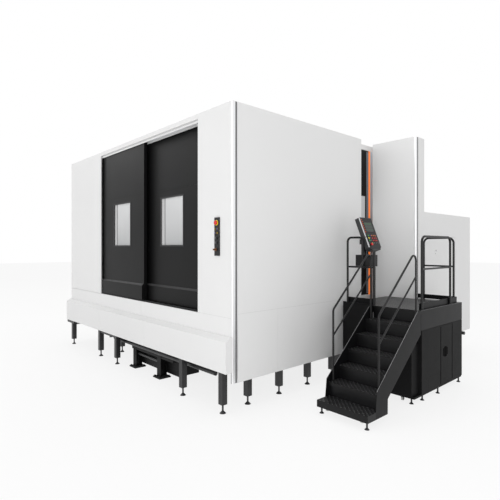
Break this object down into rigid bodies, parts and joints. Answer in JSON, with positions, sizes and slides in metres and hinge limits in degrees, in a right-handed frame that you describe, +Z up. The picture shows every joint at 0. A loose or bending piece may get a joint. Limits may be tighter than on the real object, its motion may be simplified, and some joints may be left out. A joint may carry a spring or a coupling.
{
  "type": "cnc machining center",
  "caption": "Large enclosed machining center with sliding front doors, pallet changer, tool tower, side stairs and operator console.",
  "frame": {"origin": "centre of the bounding box on the floor", "axes": "+X to the right along the front, +Y to the rear, +Z up"},
  "size_m": [7.32, 6.05, 4.14],
  "materials": {
    "white_sheet": "satin light gray paint on folded sheet",
    "black_sheet": "satin black paint on folded sheet",
    "black_tube": "black paint on tube",
    "stair_steel": "black paint on checker plate",
    "aluminium": "satin extruded profile",
    "machine_paint": "gray machine enamel on castings",
    "cast_iron": "machined casting",
    "steel": "ground and polished steel",
    "dark_steel": "blackened steel",
    "frame_steel": "primer gray square tube",
    "window": "laminated safety glass",
    "light_orange": "orange light strip",
    "console_black": "black moulded panel",
    "console_white": "light gray console case",
    "console_keys": "screen and keys",
    "stop_red": "red mushroom head",
    "lamps": "small lamps",
    "button": "gray push button",
    "key_metal": "key and barrel",
    "wheel_gray": "hard caster wheel"
  },
  "bodies": {
    "machine": {"machine_bed": "machine_paint", "guide_rails": "steel", "changer_base": "machine_paint", "front_skirt": "white_sheet", "door_surround": "white_sheet", "left_cabinet_cover": "white_sheet", "pillar_cover": "white_sheet", "corner_trims": "aluminium", "right_wall": "white_sheet", "left_wall": "white_sheet", "rear_wall": "white_sheet", "roof_sheets": "white_sheet", "cover_frame": "frame_steel", "door_tracks": "steel", "cover_legs": "dark_steel", "levelling_feet": "dark_steel", "setup_base": "black_sheet", "under_pipes": "dark_steel", "control_strip": "console_black", "strip_lamps": "lamps", "operator_frame": "white_sheet", "light_strip": "light_orange", "magazine_tower": "white_sheet", "rear_box": "white_sheet", "stair_stringers": "stair_steel", "stair_treads": "stair_steel", "platform_deck": "stair_steel", "platform_frame": "stair_steel", "platform_cabinet": "stair_steel", "stair_rails": "black_tube", "guard_hoops": "black_tube", "console_bracket": "black_sheet"},
    "saddle": {"table_saddle": "machine_paint"},
    "turntable": {"rotary_table": "cast_iron", "machining_pallet": "cast_iron"},
    "changer": {"changer_fork": "machine_paint", "setup_pallet": "cast_iron"},
    "column_slide": {"column": "machine_paint"},
    "head": {"spindle_head": "machine_paint"},
    "spindle_body": {"spindle": "steel"},
    "left_door": {"left_door_leaf": "black_sheet", "left_door_window": "window"},
    "right_door": {"right_door_leaf": "black_sheet", "right_door_window": "window"},
    "strip_stop": {"strip_stop_button": "stop_red"},
    "start_push": {"start_button": "button"},
    "release_push": {"release_button": "button"},
    "key_turn": {"key_switch": "key_metal"},
    "operator_leaf": {"operator_door": "black_sheet", "operator_window": "window"},
    "service_leaf": {"service_door": "white_sheet"},
    "drum": {"tool_drum": "steel"},
    "cabinet_leaf": {"cabinet_door": "stair_steel"},
    "latch": {"cabinet_latch": "dark_steel"},
    "console": {"console_housing": "console_white", "console_face": "console_keys"},
    "console_stop": {"console_stop_button": "stop_red"},
    "wheel_front_left": {"caster_wheel_front_left": "wheel_gray"},
    "wheel_front_right": {"caster_wheel_front_right": "wheel_gray"},
    "wheel_rear": {"caster_wheel_rear": "wheel_gray"}
  },
  "joints": [
    {"name": "right_door_slide", "type": "slide", "parent": "machine", "child": "right_door", "axis": [-1, 0, 0], "range_m": [0, 3.12]},
    {"name": "left_door_slide", "type": "slide", "parent": "machine", "child": "left_door", "axis": [-1, 0, 0], "range_m": [0, 1.56]},
    {"name": "operator_door_slide", "type": "slide", "parent": "machine", "child": "operator_leaf", "axis": [0, -1, 0], "range_m": [0, 0.465]},
    {"name": "column_traverse", "type": "slide", "parent": "machine", "child": "column_slide", "axis": [1, 0, 0], "range_m": [-0.8, 0.8]},
    {"name": "head_height", "type": "slide", "parent": "column_slide", "child": "head", "axis": [0, 0, 1], "range_m": [-0.4, 0.9]},
    {"name": "spindle_spin", "type": "hinge", "parent": "head", "child": "spindle_body", "pos_m": [-0.303, 1.73, 2.2], "axis": [0, -1, 0], "continuous": true},
    {"name": "table_feed", "type": "slide", "parent": "machine", "child": "saddle", "axis": [0, 1, 0], "range_m": [-1.1, 0.25]},
    {"name": "table_turn", "type": "hinge", "parent": "saddle", "child": "turntable", "pos_m": [-0.303, 0.95, 1.3], "axis": [0, 0, 1], "continuous": true},
    {"name": "changer_turn", "type": "hinge", "parent": "machine", "child": "changer", "pos_m": [-0.303, -1.15, 1.3], "axis": [0, 0, 1], "range_deg": [0, 180]},
    {"name": "drum_turn", "type": "hinge", "parent": "machine", "child": "drum", "pos_m": [2.35, 1.98, 1.64], "axis": [1, 0, 0], "continuous": true},
    {"name": "service_door_hinge", "type": "hinge", "parent": "machine", "child": "service_leaf", "pos_m": [2.934, 2.271, 1.65], "axis": [0, 0, 1], "range_deg": [0, 110]},
    {"name": "strip_stop_press", "type": "slide", "parent": "machine", "child": "strip_stop", "axis": [0, 1, 0], "range_m": [0, 0.006]},
    {"name": "start_press", "type": "slide", "parent": "machine", "child": "start_push", "axis": [0, 1, 0], "range_m": [0, 0.005], "stiffness_N_per_m": 1500},
    {"name": "release_press", "type": "slide", "parent": "machine", "child": "release_push", "axis": [0, 1, 0], "range_m": [0, 0.005], "stiffness_N_per_m": 1500},
    {"name": "key_turn_joint", "type": "hinge", "parent": "machine", "child": "key_turn", "pos_m": [1.868, -2.937, 2.173], "axis": [0, -1, 0], "range_deg": [0, 90]},
    {"name": "cabinet_door_hinge", "type": "hinge", "parent": "machine", "child": "cabinet_leaf", "pos_m": [3.654, 0.366, 0.57], "axis": [0, 0, 1], "range_deg": [0, 110]},
    {"name": "latch_lift", "type": "hinge", "parent": "cabinet_leaf", "child": "latch", "pos_m": [3.6505, 0.115, 0.6695], "axis": [0, -1, 0], "range_deg": [0, 50]},
    {"name": "console_swivel", "type": "hinge", "parent": "machine", "child": "console", "pos_m": [2.64, -0.559, 2.26], "axis": [0, 0, 1], "range_deg": [0, 50]},
    {"name": "console_stop_press", "type": "slide", "parent": "console", "child": "console_stop", "axis": [-0.9285, 0, -0.3714], "range_m": [0, 0.006]},
    {"name": "wheel_front_left_roll", "type": "hinge", "parent": "machine", "child": "wheel_front_left", "pos_m": [2.99, -1.947, 0.056], "axis": [1, 0, 0], "continuous": true},
    {"name": "wheel_front_right_roll", "type": "hinge", "parent": "machine", "child": "wheel_front_right", "pos_m": [3.514, -1.942, 0.056], "axis": [1, 0, 0], "continuous": true},
    {"name": "wheel_rear_roll", "type": "hinge", "parent": "machine", "child": "wheel_rear", "pos_m": [3.462, -0.832, 0.056], "axis": [1, 0, 0], "continuous": true}
  ],
  "couplings": [
    {"joint": "left_door_slide", "follows": "right_door_slide", "ratio": 0.5}
  ]
}
